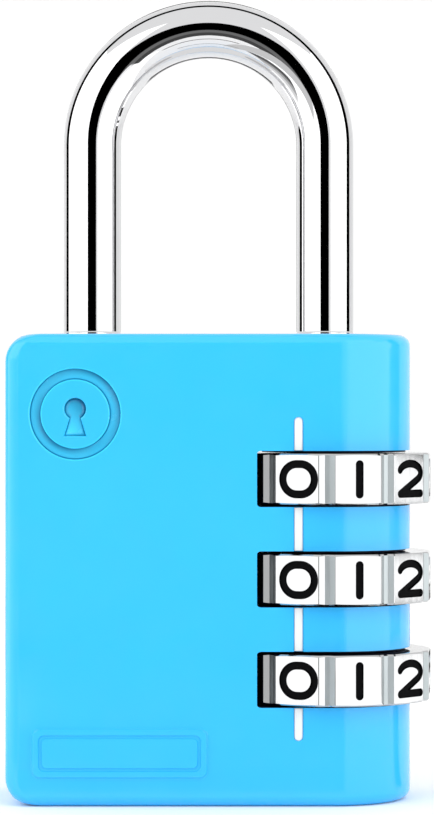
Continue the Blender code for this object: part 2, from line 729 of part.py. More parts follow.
def main():
    clear_scene()
    paint = make_material("sky_blue_paint", (0.056, 0.63, 0.99), 0.0, 0.16)
    chrome = make_material("bright_chrome", (0.83, 0.84, 0.85), 1.0, 0.07)
    nickel = make_material("bright_nickel", (0.80, 0.80, 0.79), 1.0, 0.14)
    white = make_material("white_enamel", (0.90, 0.92, 0.93), 0.0, 0.35)
    sleeve_metal = make_material("sleeve_steel", (0.24, 0.245, 0.25), 1.0, 0.35)
    washer_steel = make_material("washer_steel", (0.56, 0.57, 0.58), 1.0, 0.34)
    spring_steel = make_material("spring_steel", (0.47, 0.47, 0.48), 1.0, 0.28)
    ring_steel = make_material("ring_steel", (0.30, 0.30, 0.31), 1.0, 0.40)
    bronze = make_material("leaf_bronze", (0.66, 0.42, 0.24), 1.0, 0.28)
    zinc = make_material("plug_zinc", (0.60, 0.61, 0.62), 1.0, 0.36)
    spindle_steel = make_material("spindle_steel", (0.52, 0.53, 0.54), 1.0, 0.30)

    make_body(paint)
    make_index_marks(white)
    make_shackle(chrome)
    make_spindle(spindle_steel)
    make_retaining_ring(ring_steel)
    for index in range(3):
        dial = make_dial(index, nickel)
        sleeve = make_sleeve(index, sleeve_metal)
        pivot = bpy.data.objects.new("pivot_" + DIAL_NAMES[index], None)
        pivot.location = (DIAL_X, 0.0, DIAL_CENTRES_Z[index])
        pivot.empty_display_size = 0.01
        bpy.context.scene.collection.objects.link(pivot)
        for child in (dial, sleeve):
            child.parent = pivot
            child.location = (0.0, 0.0, 0.0)
    make_washers(washer_steel)
    make_clutch_spring(spring_steel)
    make_detent_springs(bronze)
    make_bottom_plug(zinc)


main()
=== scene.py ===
"""Looks for the three-dial combination padlock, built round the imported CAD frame."""
import json
import math

import bpy
import bmesh
from mathutils import Matrix, Vector


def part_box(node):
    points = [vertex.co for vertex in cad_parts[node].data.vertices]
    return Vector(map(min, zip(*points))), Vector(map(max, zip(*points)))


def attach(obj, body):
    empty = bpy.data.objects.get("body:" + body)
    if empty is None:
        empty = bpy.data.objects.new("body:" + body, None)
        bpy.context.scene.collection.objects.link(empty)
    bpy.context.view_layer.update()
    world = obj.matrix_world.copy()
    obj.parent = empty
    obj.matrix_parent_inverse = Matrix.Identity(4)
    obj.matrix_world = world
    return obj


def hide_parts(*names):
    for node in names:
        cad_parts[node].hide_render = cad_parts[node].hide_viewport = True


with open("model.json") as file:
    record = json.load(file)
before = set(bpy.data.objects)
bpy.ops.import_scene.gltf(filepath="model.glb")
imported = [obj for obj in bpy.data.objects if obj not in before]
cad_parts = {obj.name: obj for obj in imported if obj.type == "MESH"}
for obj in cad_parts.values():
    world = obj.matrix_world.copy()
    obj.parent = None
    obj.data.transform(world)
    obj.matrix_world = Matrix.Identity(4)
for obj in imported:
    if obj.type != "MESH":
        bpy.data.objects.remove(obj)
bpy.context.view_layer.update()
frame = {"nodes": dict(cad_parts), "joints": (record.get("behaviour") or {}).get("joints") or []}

MM = 0.001


# ---------------------------------------------------------------- sizes read from the frame

BODY_LOW, BODY_HIGH = (Vector(c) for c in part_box("body_casting"))
SHACKLE_LOW, SHACKLE_HIGH = (Vector(c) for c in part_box("shackle"))
JOINTS = {joint["name"]: joint for joint in frame["joints"]}
DIALS = ("top", "middle", "bottom")
AXIS_X = JOINTS["dial_top_turn"]["pos_m"][0]
DIAL_Z = [JOINTS["dial_%s_turn" % name]["pos_m"][2] for name in DIALS]

BODY_TOP = BODY_HIGH.z
HALF_THICK = BODY_HIGH.y
FRONT = -HALF_THICK
ROD = 0.5 * (SHACKLE_HIGH.y - SHACKLE_LOW.y)
TOE_X = SHACKLE_LOW.x + ROD
HEEL_X = SHACKLE_HIGH.x - ROD
HEEL_END = SHACKLE_LOW.z
BOW = 0.5 * (HEEL_X - TOE_X)
BOW_X = 0.5 * (HEEL_X + TOE_X)
BOW_Z = SHACKLE_HIGH.z - BOW - ROD


# ---------------------------------------------------------------- CAD sizes that no box or joint gives

TOE_END = 34.9 * MM             # foot of the toe leg
TOE_HOLE_END = 34.0 * MM        # floors of the two shackle holes
HEEL_HOLE_END = 32.1 * MM
LEG_HOLE = ROD + 0.2 * MM       # radius of the shackle holes
SPINDLE_NECK = 0.9 * MM         # radii of the pocket in the heel leg's foot
SPINDLE_HEAD = 1.3 * MM

EDGE = 1.0 * MM                 # rounding of the body's top and bottom edges
LEFT_FRONT = 2.4 * MM           # rounding of the left-hand corners, seen from the front
LEFT_PLAN = 1.3 * MM            # and seen from above

BORE_RADIUS = 4.65 * MM         # mechanism bore, and the dials' keyways
BORE_TOP = 32.5 * MM
PLUG_SEAT = 5.3 * MM            # radius of the plug's seat at the foot of the bore
SLOT_RADIUS = 9.69 * MM         # slots that the dials turn in
SLOT_HALF = 2.4 * MM
LEAF_X = 0.65 * MM              # pockets of the detent leaves; corners in millimetres, in plan
LEAF_POCKET = ((-0.9, -4.3), (2.9, -4.3), (2.9, 4.3), (-0.9, 4.3))
LEAF_POCKET_HALF = 2.05 * MM
INDEX_HALF = 0.41 * MM          # half width of the index line's groove
MARK_X = -11.5 * MM             # middle of the sunk mark on the front
MARK_Z = 33.6 * MM
PLATE_X = -7.7 * MM             # middle of the raised blank plate
PLATE_Z = 4.6 * MM
PLATE_HALF = (7.5, 2.1)         # its half width and half height in millimetres

PAD_TURN = 36.0                 # degrees from one pad of a dial to the next
FIRST_PAD = -23.9               # heading of the pad with the 0: degrees to the right of the front
PAD_APOTHEM = 8.42 * MM         # distance of the flat pads from the dial's axis
PAD_HALF = 1.99 * MM
PAD_BEVEL = 0.41 * MM           # flank of the grooves between the pads
RIM_BEVEL = 0.1 * MM
DIAL_HALF = 2.17 * MM           # half height of a dial
DIAL_BORE = 4.2 * MM
DIGIT_DEPTH = 0.45 * MM
DIGIT_SHIFT = 0.15 * MM         # the digits stand this far right of their pad's middle


# ---------------------------------------------------------------- finer sizes

MARK_EDGE = 0.1 * MM            # softened mouth of the sunk mark
MARK_REACH = 4.2 * MM           # radius that holds all of the mark
BOSS_RADIUS = 6.3 * MM          # bearing bosses above and below each dial
BOSS_HEIGHT = 0.16 * MM
SLOT_FILLET = 0.25 * MM
MICRO_BEVEL = 0.03 * MM         # softened edges of the pads
GROOVE_SATIN = (-2.5, 4.0)      # unpolished stretch of a groove, in degrees from its middle
STROKE_HALF = 0.33              # digits, in millimetres: half the stroke's width
DIGIT_HALF = (1.45, 1.29)       # and half the width and height of the centre line
OVERCUT = 0.3 * MM              # how far a cutter reaches out of the face it cuts
DIAGONAL = 1.4142               # of a unit square


# ---------------------------------------------------------------- node materials

NOISE_RANGE = (0.3, 0.7)        # the stretch of a noise's values that the ramps spread out


def new_material(name, colour, metallic, roughness, **extra):
    """A plain material; extra sets further sockets, with underscores for the spaces in their names."""
    mat = bpy.data.materials.new(name)
    mat.use_nodes = True
    shader = mat.node_tree.nodes["Principled BSDF"]
    shader.inputs["Base Color"].default_value = (*colour, 1.0)
    shader.inputs["Metallic"].default_value = metallic
    shader.inputs["Roughness"].default_value = roughness
    for key, value in extra.items():
        shader.inputs[key.replace("_", " ")].default_value = value
    return mat


def add_noise(mat, scale, detail, stretch=(1.0, 1.0, 1.0)):
    """A noise texture in object space, in features per metre."""
    nodes = mat.node_tree.nodes
    links = mat.node_tree.links
    coords = nodes.new("ShaderNodeTexCoord")
    mapping = nodes.new("ShaderNodeMapping")
    mapping.inputs["Scale"].default_value = stretch
    noise = nodes.new("ShaderNodeTexNoise")
    noise.inputs["Scale"].default_value = scale
    noise.inputs["Detail"].default_value = detail
    links.new(coords.outputs["Object"], mapping.inputs["Vector"])
    links.new(mapping.outputs["Vector"], noise.inputs["Vector"])
    return noise.outputs["Fac"]


def map_range(mat, source, from_range, to_range):
    ramp = mat.node_tree.nodes.new("ShaderNodeMapRange")
    ramp.inputs["From Min"].default_value, ramp.inputs["From Max"].default_value = from_range
    ramp.inputs["To Min"].default_value, ramp.inputs["To Max"].default_value = to_range
    mat.node_tree.links.new(source, ramp.inputs["Value"])
    return ramp.outputs["Result"]


def vary_roughness(mat, source, low, high):
    shader = mat.node_tree.nodes["Principled BSDF"]
    mat.node_tree.links.new(map_range(mat, source, NOISE_RANGE, (low, high)), shader.inputs["Roughness"])


def vary_colour(mat, source, dark, light):
    nodes = mat.node_tree.nodes
    ramp = nodes.new("ShaderNodeValToRGB")
    for element, position, colour in zip(ramp.color_ramp.elements, NOISE_RANGE, (dark, light)):
        element.position = position
        element.color = (*colour, 1.0)
    mat.node_tree.links.new(source, ramp.inputs["Fac"])
    mat.node_tree.links.new(ramp.outputs["Color"], nodes["Principled BSDF"].inputs["Base Color"])


def add_bump(mat, source, strength, distance):
    nodes = mat.node_tree.nodes
    links = mat.node_tree.links
    bump = nodes.new("ShaderNodeBump")
    bump.inputs["Strength"].default_value = strength
    bump.inputs["Distance"].default_value = distance
    links.new(source, bump.inputs["Height"])
    links.new(bump.outputs["Normal"], nodes["Principled BSDF"].inputs["Normal"])


def scaled(colour, factor):
    return tuple(min(1.0, channel * factor) for channel in colour)


def make_paint():
    """Gloss enamel: faint orange peel, barely uneven depth of colour."""
    colour = (0.035, 0.465, 0.93)
    mat = new_material("sky_blue_enamel", colour, 0.0, 0.12)
    vary_colour(mat, add_noise(mat, 140.0, 2.0), scaled(colour, 0.985), scaled(colour, 1.01))
    vary_roughness(mat, add_noise(mat, 500.0, 4.0), 0.09, 0.16)
    add_bump(mat, add_noise(mat, 900.0, 2.0), 0.05, 0.05 * MM)
    return mat


def make_mark_shade_paint():
    """The same enamel with painted shade: darker the deeper it lies in the sunk mark, standing in for the
    shadow in the recess.
    """
    unshaded_colour = (0.045, 0.61, 0.94)
    shaded_colour = (0.005, 0.12, 0.26)
    mat = new_material("sky_blue_enamel_painted_shade", unshaded_colour, 0.0, 0.2)
    nodes = mat.node_tree.nodes
    split = nodes.new("ShaderNodeSeparateXYZ")
    mat.node_tree.links.new(nodes.new("ShaderNodeTexCoord").outputs["Object"], split.inputs["Vector"])
    shallow_to_deep = (FRONT + 0.2 * MM, FRONT + 0.4 * MM)
    # painted shade: the deeper a face of the mark lies, the darker its colour
    depth = map_range(mat, split.outputs["Y"], shallow_to_deep, tuple(reversed(NOISE_RANGE)))
    vary_colour(mat, depth, shaded_colour, unshaded_colour)
    vary_roughness(mat, add_noise(mat, 500.0, 4.0), 0.16, 0.28)
    add_bump(mat, add_noise(mat, 900.0, 2.0), 0.08, 0.05 * MM)
    return mat


def make_slot_shade_paint():
    """Near-black navy for the inside of the dial slots: painted shade, standing in for the shadow there."""
    colour = (0.002, 0.007, 0.03)
    mat = new_material("slot_shadow_paint", colour, 0.0, 0.5, Specular_IOR_Level=0.15)
    vary_colour(mat, add_noise(mat, 300.0, 3.0), scaled(colour, 0.7), scaled(colour, 1.3))
    add_bump(mat, add_noise(mat, 1500.0, 3.0), 0.3, 0.02 * MM)
    return mat


def make_plating(name, colour, low, high, stretch, scale=2200.0, bump=0.02):
    """Bright plating with fine polishing marks drawn out along one direction."""
    mat = new_material(name, colour, 1.0, low)
    marks = add_noise(mat, scale, 5.0, stretch)
    vary_roughness(mat, marks, low, high)
    vary_colour(mat, add_noise(mat, 260.0, 3.0), scaled(colour, 0.985), scaled(colour, 1.01))
    add_bump(mat, marks, bump, 0.01 * MM)
    return mat


def make_ink():
    """Matt black enamel pooled in the sunk digits."""
    mat = new_material("black_digit_enamel", (0.003, 0.003, 0.0035), 0.0, 0.5, Specular_IOR_Level=0.03)
    vary_roughness(mat, add_noise(mat, 2600.0, 3.0), 0.45, 0.6)
    add_bump(mat, add_noise(mat, 1800.0, 2.0), 0.15, 0.02 * MM)
    return mat


def make_white():
    """White enamel run into the index groove."""
    colour = (0.80, 0.83, 0.84)
    mat = new_material("white_line_enamel", colour, 0.0, 0.32)
    vary_colour(mat, add_noise(mat, 700.0, 3.0), scaled(colour, 0.95), colour)
    add_bump(mat, add_noise(mat, 2200.0, 2.0), 0.10, 0.02 * MM)
    return mat


def make_turned(name, colour, low, high):
    """Machined metal with fine turning marks round the vertical axis."""
    mat = new_material(name, colour, 1.0, low)
    marks = add_noise(mat, 900.0, 4.0, (0.25, 0.25, 9.0))
    vary_roughness(mat, marks, low, high)
    vary_colour(mat, add_noise(mat, 420.0, 4.0), scaled(colour, 0.90), scaled(colour, 1.05))
    add_bump(mat, marks, 0.12, 0.01 * MM)
    return mat


# ---------------------------------------------------------------- mesh helpers

def to_object(bm, name, mat, smooth_deg=None):
    bmesh.ops.recalc_face_normals(bm, faces=bm.faces)
    mesh = bpy.data.meshes.new(name)
    bm.to_mesh(mesh)
    bm.free()
    if mat is not None:
        mesh.materials.append(mat)
    obj = bpy.data.objects.new(name, mesh)
    bpy.context.scene.collection.objects.link(obj)
    if smooth_deg is not None:
        shade(obj, smooth_deg)
    return obj


def shade(obj, angle):
    """Smooth shading, with sharp edges where faces meet at more than the angle in degrees."""
    for poly in obj.data.polygons:
        poly.use_smooth = True
    obj.data.set_sharp_from_angle(angle=math.radians(angle))


def loft(bm, loops, closed=False):
    """Skin a row of loops with equally many points; a closed row joins up, an open one gets caps."""
    rings = [[bm.verts.new(point) for point in ring] for ring in loops]
    count = len(rings[0])
    pairs = list(zip(rings, rings[1:]))
    if closed:
        pairs.append((rings[-1], rings[0]))
    for low, high in pairs:
        for i in range(count):
            j = (i + 1) % count
            bm.faces.new((low[i], low[j], high[j], high[i]))
    if not closed:
        bm.faces.new(list(reversed(rings[0])))
        bm.faces.new(rings[-1])


def circle(cx, radius, z, segments):
    """A level circle round the point x = cx, y = 0."""
    points = []
    for i in range(segments):
        angle = 2.0 * math.pi * i / segments
        points.append((cx + radius * math.cos(angle), radius * math.sin(angle), z))
    return points


def arc(cx, cy, radius, start, end, steps=8):
    points = []
    for i in range(steps + 1):
        angle = math.radians(start + (end - start) * i / steps)
        points.append((cx + radius * math.cos(angle), cy + radius * math.sin(angle)))
    return points


def rounded_loop(x0, x1, y0, y1, radius, steps=8):
    """A rectangle with rounded corners, counterclockwise from the upper right corner."""
    points = arc(x1 - radius, y1 - radius, radius, 0.0, 90.0, steps)
    points += arc(x0 + radius, y1 - radius, radius, 90.0, 180.0, steps)
    points += arc(x0 + radius, y0 + radius, radius, 180.0, 270.0, steps)
    points += arc(x1 - radius, y0 + radius, radius, 270.0, 360.0, steps)
    return points


def lathe(bm, cx, profile, segments):
    """A solid of revolution about the vertical line x = cx, y = 0, from (radius, z) pairs."""
    loft(bm, [circle(cx, radius, z, segments) for radius, z in profile])


def carve(target, bm, operation="DIFFERENCE"):
    """Boolean a temporary tool into the target for good."""
    tool = to_object(bm, "tool", None)
    mod = target.modifiers.new("carve", "BOOLEAN")
    mod.operation = operation
    mod.solver = "EXACT"
    mod.object = tool
    bpy.context.view_layer.update()
    graph = bpy.context.evaluated_depsgraph_get()
    mesh = bpy.data.meshes.new_from_object(target.evaluated_get(graph))
    old = target.data
    target.modifiers.clear()
    target.data = mesh
    bpy.data.meshes.remove(old)
    bpy.data.objects.remove(tool)


def bore(target, cx, profile, segments):
    bm = bmesh.new()
    lathe(bm, cx, profile, segments)
    carve(target, bm)


# ---------------------------------------------------------------- body casting

def edge_inset(distance, radius):
    """How far a rounded edge has drawn in at a distance from the end face."""
    if distance >= radius:
        return 0.0
    return radius - math.sqrt(max(0.0, radius ** 2 - (radius - distance) ** 2))


def body_loop(z):
    """Outline of the body at a height: half-round on the right, small corner radii on the left."""
    distance = min(z, BODY_TOP - z)
    left = BODY_LOW.x + edge_inset(distance, LEFT_FRONT)
    half = HALF_THICK - edge_inset(distance, EDGE)
    centre_x = BODY_HIGH.x - HALF_THICK
    points = [(x, y, z) for x, y in arc(centre_x, 0.0, half, -90.0, 90.0, 80)]
    for start, cy in ((90.0, half - LEFT_PLAN), (180.0, LEFT_PLAN - half)):
        points += [(x, y, z) for x, y in arc(left + LEFT_PLAN, cy, LEFT_PLAN, start, start + 90.0, 12)]
    return points


def cut_dial_slots(body):
    """Three slots round the dial axis, each with a low bearing boss above and below its dial."""
    bm = bmesh.new()
    for z in DIAL_Z:
        foot = z - SLOT_HALF
        profile = [(BOSS_RADIUS, foot + BOSS_HEIGHT), (BOSS_RADIUS, foot)]
        profile += arc(SLOT_RADIUS - SLOT_FILLET, foot + SLOT_FILLET, SLOT_FILLET, -90.0, 0.0, 4)
        profile += [(radius, 2.0 * z - height) for radius, height in reversed(profile)]
        lathe(bm, AXIS_X, profile, 144)
    carve(body, bm)


def cut_bores(body):
    """The mechanism bore with its plug seat, and the two shackle holes with softened lips."""
    mouth = PLUG_SEAT + 0.15 * MM
    bore(body, AXIS_X, ((mouth, -OVERCUT), (mouth, 0.0), (PLUG_SEAT, 0.15 * MM), (PLUG_SEAT, 1.0 * MM),
                        (BORE_RADIUS, 1.0 * MM), (BORE_RADIUS, BORE_TOP)), 72)
    lip = ((LEG_HOLE, BODY_TOP - 0.22 * MM), (LEG_HOLE + 0.06 * MM, BODY_TOP - 0.08 * MM),
           (LEG_HOLE + 0.22 * MM, BODY_TOP), (LEG_HOLE + 0.3 * MM, BODY_TOP + OVERCUT))
    for x, end in ((HEEL_X, HEEL_HOLE_END), (TOE_X, TOE_HOLE_END)):
        bore(body, x, ((LEG_HOLE, end),) + lip, 72)


def cut_leaf_pockets(body):
    bm = bmesh.new()
    outline = [(LEAF_X + x * MM, y * MM) for x, y in LEAF_POCKET]
    for z in DIAL_Z:
        loft(bm, [[(x, y, z + side * LEAF_POCKET_HALF) for x, y in outline] for side in (-1.0, 1.0)])
    carve(body, bm)


def cut_index_groove(body):
    low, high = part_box("index_mark_2")
    cx = 0.5 * (low[0] + high[0])
    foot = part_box("index_mark_4")[0][2] + INDEX_HALF
    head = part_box("index_mark_1")[1][2] - INDEX_HALF
    outline = arc(cx, head, INDEX_HALF, 0.0, 180.0, 10) + arc(cx, foot, INDEX_HALF, 180.0, 360.0, 10)
    bm = bmesh.new()
    loft(bm, [[(x, FRONT + y, z) for x, z in outline] for y in (-OVERCUT, OVERCUT)])
    carve(body, bm)


def keyhole(grow):
    """Outline of the keyhole in the sunk mark, widened by grow: a round head on a square foot."""
    half = 0.95 * MM
    points = arc(MARK_X, MARK_Z + 0.45 * MM, half + grow, -60.0, 240.0, 28)
    points.append((MARK_X - half - grow, MARK_Z - 1.9 * MM - grow))
    points.append((MARK_X + half + grow, MARK_Z - 1.9 * MM - grow))
    return points


def flared(outline_at, depth, flare, mark_z):
    """Loops for a sunk mark with a flared mouth and a floor that falls a little to the upper right."""
    levels = ((flare, -OVERCUT, 0.0), (flare, 0.0, 0.0), (0.35 * flare, 0.35 * flare, 0.0),
              (0.0, flare, 0.0), (-0.05 * MM, depth - 0.02 * MM, 0.03),
              (-0.17 * MM, depth - 0.08 * MM, 0.045), (-0.33 * MM, depth - 0.12 * MM, 0.045),
              (-0.5 * MM, depth - 0.13 * MM, 0.045))
    loops = []
    for grow, y, fall in levels:
        loops.append([(x, FRONT + y + fall * (x - MARK_X + z - mark_z), z) for x, z in outline_at(grow)])
    return loops


def ring_groove(outer, inner, soft):
    """Loops of a ring groove whose floor falls towards the upper right edge all the way round."""
    middle = 0.5 * (outer + inner)
    half = 0.5 * (outer - inner)
    rows = [(outer + soft, -OVERCUT), (outer + soft, 0.0), (outer, soft)]
    shares = (0.92, 0.7, 0.45, 0.2, 0.0, -0.2, -0.45, -0.7, -0.92)
    rows += [(middle + half * share, None) for share in shares]
    rows += [(inner, soft), (inner - soft, 0.0), (inner - soft, -OVERCUT)]
    loops = []
    for radius, level in rows:
        loop = []
        for x, z, _ in circle(0.0, radius, 0.0, 96):
            y = level
            if y is None:
                # the floor lies deepest at the upper right, so the painted shade is darkest there
                share = (radius - middle) / half
                fall = share * (x + z) / (DIAGONAL * radius)
                y = (0.27 + 0.12 * max(0.0, (fall + 0.25) / 1.25) ** 1.2) * MM
                if abs(share) > 0.9:
                    y = max(y, 0.35 * MM)
            loop.append((MARK_X + x, FRONT + y, MARK_Z + z))
        loops.append(loop)
    return loops


def cut_mark(body):
    """A generic mark: a keyhole in a ring."""
    bm = bmesh.new()
    loft(bm, ring_groove(3.9 * MM, 2.95 * MM, MARK_EDGE), closed=True)
    loft(bm, flared(keyhole, 0.4 * MM, MARK_EDGE, MARK_Z - 0.4 * MM))
    carve(body, bm)


def plate_loops(steps, corner):
    """Outlines of the blank plate at (inset, y) steps in millimetres from its edge and the front face."""
    loops = []
    for inset, y in steps:
        half_x, half_z = ((size - inset) * MM for size in PLATE_HALF)
        outline = rounded_loop(PLATE_X - half_x, PLATE_X + half_x, PLATE_Z - half_z, PLATE_Z + half_z,
                               (corner - 0.5 * inset) * MM)
        loops.append([(x, FRONT + y * MM, z) for x, z in outline])
    return loops


def add_plate(body):
    """A raised blank plate with a groove just inside its edge."""
    bm = bmesh.new()
    loft(bm, plate_loops(((-0.12, 0.4), (-0.12, 0.0), (-0.03, -0.04), (0.02, -0.12), (0.08, -0.2),
                          (0.2, -0.245)), 0.65))
    carve(body, bm, "UNION")
    bm = bmesh.new()
    loft(bm, plate_loops(((0.47, -0.5), (0.47, -0.25), (0.53, -0.22), (0.6, -0.1), (0.8, -0.1), (0.87, -0.22),
                          (0.93, -0.25), (0.93, -0.5)), 0.8), closed=True)
    carve(body, bm)


def paint_shade_in_mark(body):
    """Give the floors and walls of the sunk mark the enamel with painted shade."""
    body.data.materials.append(make_mark_shade_paint())
    for poly in body.data.polygons:
        c = poly.center
        near_mark = math.hypot(c.x - MARK_X, c.z - MARK_Z) < MARK_REACH
        if near_mark and FRONT + 0.02 * MM < c.y < FRONT + 1.0 * MM:
            poly.material_index = 1


def paint_shade_in_slots(body):
    """Give the inside faces of the dial slots the near-black painted shade."""
    near = 0.01 * MM
    body.data.materials.append(make_slot_shade_paint())
    for poly in body.data.polygons:
        c = poly.center
        radius = math.hypot(c.x - AXIS_X, c.y)
        for z in DIAL_Z:
            flat = abs(poly.normal.z) > 0.9 and abs(abs(c.z - z) - SLOT_HALF) < BOSS_HEIGHT + near
            wall = abs(poly.normal.z) < 0.95 and abs(c.z - z) < SLOT_HALF + near
            at_end = abs(radius - SLOT_RADIUS) < 0.3 * MM or abs(radius - BOSS_RADIUS) < 0.1 * MM
            if flat or (wall and at_end):
                poly.material_index = 2


def make_body(mat):
    # heights of the loops: close together over the rounded edges, and mirrored for the top
    heights = [EDGE * (1.0 - math.cos(math.radians(90.0 * i / 8))) for i in range(9)]
    heights += [1.25 * MM, 1.6 * MM, 2.0 * MM, LEFT_FRONT]
    heights += [BODY_TOP - h for h in reversed(heights)]
    bm = bmesh.new()
    loft(bm, [body_loop(z) for z in heights])
    body = to_object(bm, "painted_body", mat)
    cut_dial_slots(body)
    cut_bores(body)
    cut_leaf_pockets(body)
    cut_index_groove(body)
    cut_mark(body)
    add_plate(body)
    # painted shade in the sunk mark, darker the deeper it lies
    paint_shade_in_mark(body)
    # painted shade: near-black inside faces of the dial slots
    paint_shade_in_slots(body)
    shade(body, 28.0)
    weighted = body.modifiers.new("weighted_normal", "WEIGHTED_NORMAL")
    weighted.keep_sharp = True
    weighted.weight = 90
    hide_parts("body_casting")
    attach(body, "lock_body")


def make_index_line(mat):
    """White enamel sunk just below the paint, with a slightly domed face and soft ends."""
    for number in range(1, 5):
        low, high = (Vector(c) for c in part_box("index_mark_%d" % number))
        cx = 0.5 * (low.x + high.x)
        half = 0.5 * (high.x - low.x)
        outline = [(cx + half, high.z), (cx - half, high.z)]
        if number == 1:
            outline = arc(cx, high.z - half, half, 0.0, 180.0, 10)
        if number == 4:
            outline += arc(cx, low.z + half, half, 180.0, 360.0, 10)
        else:
            outline += [(cx - half, low.z), (cx + half, low.z)]
        loops = []
        # from the groove's floor out to the domed face, drawn in towards the line's middle
        for shrink, y in ((0.0, high.y - FRONT), (0.0, 0.13 * MM), (0.12, 0.1 * MM), (0.35, 0.085 * MM)):
            loop = []
            for x, z in outline:
                z_in = min(max(z, low.z + half), high.z - half)
                loop.append((x + (cx - x) * shrink, FRONT + y, z + (z_in - z) * shrink * 0.6))
            loops.append(loop)
        bm = bmesh.new()
        loft(bm, loops)
        mark = to_object(bm, "white_line_%d" % number, mat, 40.0)
        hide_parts("index_mark_%d" % number)
        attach(mark, "lock_body")


# ---------------------------------------------------------------- shackle

def make_shackle(mat):
    """One bent rod: rounded toe end, legs and bow, and the heel end with the spindle's pocket."""
    segments = 72
    steps = 120
    toe = ((ROD - 0.5 * MM, 0.0), (ROD - 0.35 * MM, 0.03 * MM), (ROD - 0.06 * MM, 0.32 * MM),
           (ROD, 0.5 * MM), (ROD, 0.7 * MM))
    heel = ((ROD, 0.9 * MM), (ROD, 0.3 * MM), (ROD - 0.09 * MM, 0.09 * MM), (ROD - 0.3 * MM, 0.0),
            (SPINDLE_NECK, 0.0), (SPINDLE_NECK, 1.1 * MM), (SPINDLE_HEAD, 1.1 * MM), (SPINDLE_HEAD, 2.7 * MM))
    loops = [circle(TOE_X, radius, TOE_END + rise, segments) for radius, rise in toe]
    for i in range(steps + 1):
        turn = math.pi * i / steps
        middle = Vector((BOW_X - BOW * math.cos(turn), 0.0, BOW_Z + BOW * math.sin(turn)))
        turned = Matrix.Rotation(turn, 3, "Y")
        loops.append([middle + turned @ Vector(point) for point in circle(0.0, ROD, 0.0, segments)])
    for radius, rise in heel:
        loops.append([(HEEL_X - x, y, z) for x, y, z in circle(0.0, radius, HEEL_END + rise, segments)])
    bm = bmesh.new()
    loft(bm, loops)
    shackle = to_object(bm, "plated_shackle", mat, 30.0)
    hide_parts("shackle")
    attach(shackle, "shackle_assembly")


# ---------------------------------------------------------------- dials

def digit_strokes(digit):
    """Centre lines of one digit in millimetres: a list of (points, is_closed)."""
    w, h = DIGIT_HALF
    r = 0.85
    if digit == 0:
        return [(rounded_loop(-w, w, -h, h, 1.27, 16), True)]
    if digit == 1:
        return [([(0.0, -h), (0.0, h)], False)]
    if digit == 2:
        points = [(w * x, h - 0.8 + 0.8 * z) for x, z in arc(0.0, 0.0, 1.0, 160.0, -52.0, 26)]
        corner = (-w + 0.1, -h)
        return [(points + [corner], False), ([corner, (w, -h)], False)]
    if digit == 3:
        upper = [(-w, h)] + arc(w - 0.6, h - 0.6, 0.6, 90.0, -90.0, 16) + [(-0.45, 0.0)]
        lower = [(0.1, 0.0)] + arc(w - 0.6, -h + 0.6, 0.6, 90.0, -90.0, 16) + [(-w, -h)]
        return [(upper, False), (lower, False)]
    if digit == 4:
        return [([(0.35, h), (-w, -0.45), (w, -0.45)], False), ([(0.75, 0.45), (0.75, -h)], False)]
    if digit == 5:
        bowl = arc(w - 0.72, -h + 0.72, 0.72, 90.0, -90.0, 16)
        return [([(w - 0.1, h), (-w + 0.1, h), (-w + 0.1, 0.25)] + bowl + [(-w, -h)], False)]
    if digit == 6:
        tail = [(w - 0.3, h)] + arc(-w + r, h - r, r, 90.0, 180.0) + [(-w, -0.4)]
        return [(rounded_loop(-w, w, -h, 0.28, 0.62), True), (tail, False)]
    if digit == 7:
        return [([(-w, h), (w, h), (-0.35, -h)], False)]
    if digit == 8:
        return [(rounded_loop(-w, w, -h, h, 0.75, 10), True), ([(-w + 0.1, 0.0), (w - 0.1, 0.0)], False)]
    tail = [(w, 0.4)] + arc(w - r, -h + r, r, 0.0, -90.0) + [(-w + 0.3, -h)]
    return [(rounded_loop(-w, w, -0.28, h, 0.62), True), (tail, False)]


def clean_path(points, closed):
    """Drop points that lie on the one before them."""
    too_near = 1e-4
    kept = []
    for point in points:
        if not kept or (Vector(point) - Vector(kept[-1])).length > too_near:
            kept.append(point)
    if closed and (Vector(kept[0]) - Vector(kept[-1])).length < too_near:
        kept.pop()
    return kept


def offset_points(points, side, closed):
    """The path moved sideways, with its corners mitred."""
    count = len(points)
    result = []
    for i in range(count):
        here = Vector(points[i])
        normals = []
        if closed or i > 0:
            d = (here - Vector(points[i - 1])).normalized()
            normals.append(Vector((-d.y, d.x)))
        if closed or i < count - 1:
            d = (Vector(points[(i + 1) % count]) - here).normalized()
            normals.append(Vector((-d.y, d.x)))
        normal = sum(normals, Vector((0.0, 0.0))).normalized()
        result.append(here + normal * (side / max(0.45, normal.dot(normals[0]))))
    return result


def add_stroke(bm, points, closed, place, levels):
    """One digit stroke as a prism through (depth, widening) levels."""
    points = clean_path(points, closed)
    loops = []
    if closed:
        for side, rows in ((-1.0, levels), (1.0, tuple(reversed(levels)))):
            for out, grow in rows:
                outline = offset_points(points, side * (STROKE_HALF + grow), True)
                loops.append([place(p, out) for p in outline])
        loft(bm, loops, closed=True)
        return
    for out, grow in levels:
        wide = STROKE_HALF + grow
        outline = offset_points(points, wide, False)
        for tip, base, last in ((points[-1], points[-2], True), (points[0], points[1], False)):
            d = (Vector(tip) - Vector(base)).normalized()
            heading = math.degrees(math.atan2(d.y, d.x))
            cap = arc(tip[0], tip[1], wide, heading + 90.0, heading - 90.0, 12)
            outline += [Vector(p) for p in cap[1:-1]]
            if last:
                outline += list(reversed(offset_points(points, -wide, False)))
        loops.append([place(p, out) for p in outline])
    loft(bm, loops)


def pad_axes(pad):
    """Directions out of a pad and along it to the right, in plan."""
    angle = math.radians(FIRST_PAD + PAD_TURN * pad)
    return Vector((math.sin(angle), -math.cos(angle))), Vector((math.cos(angle), math.sin(angle)))


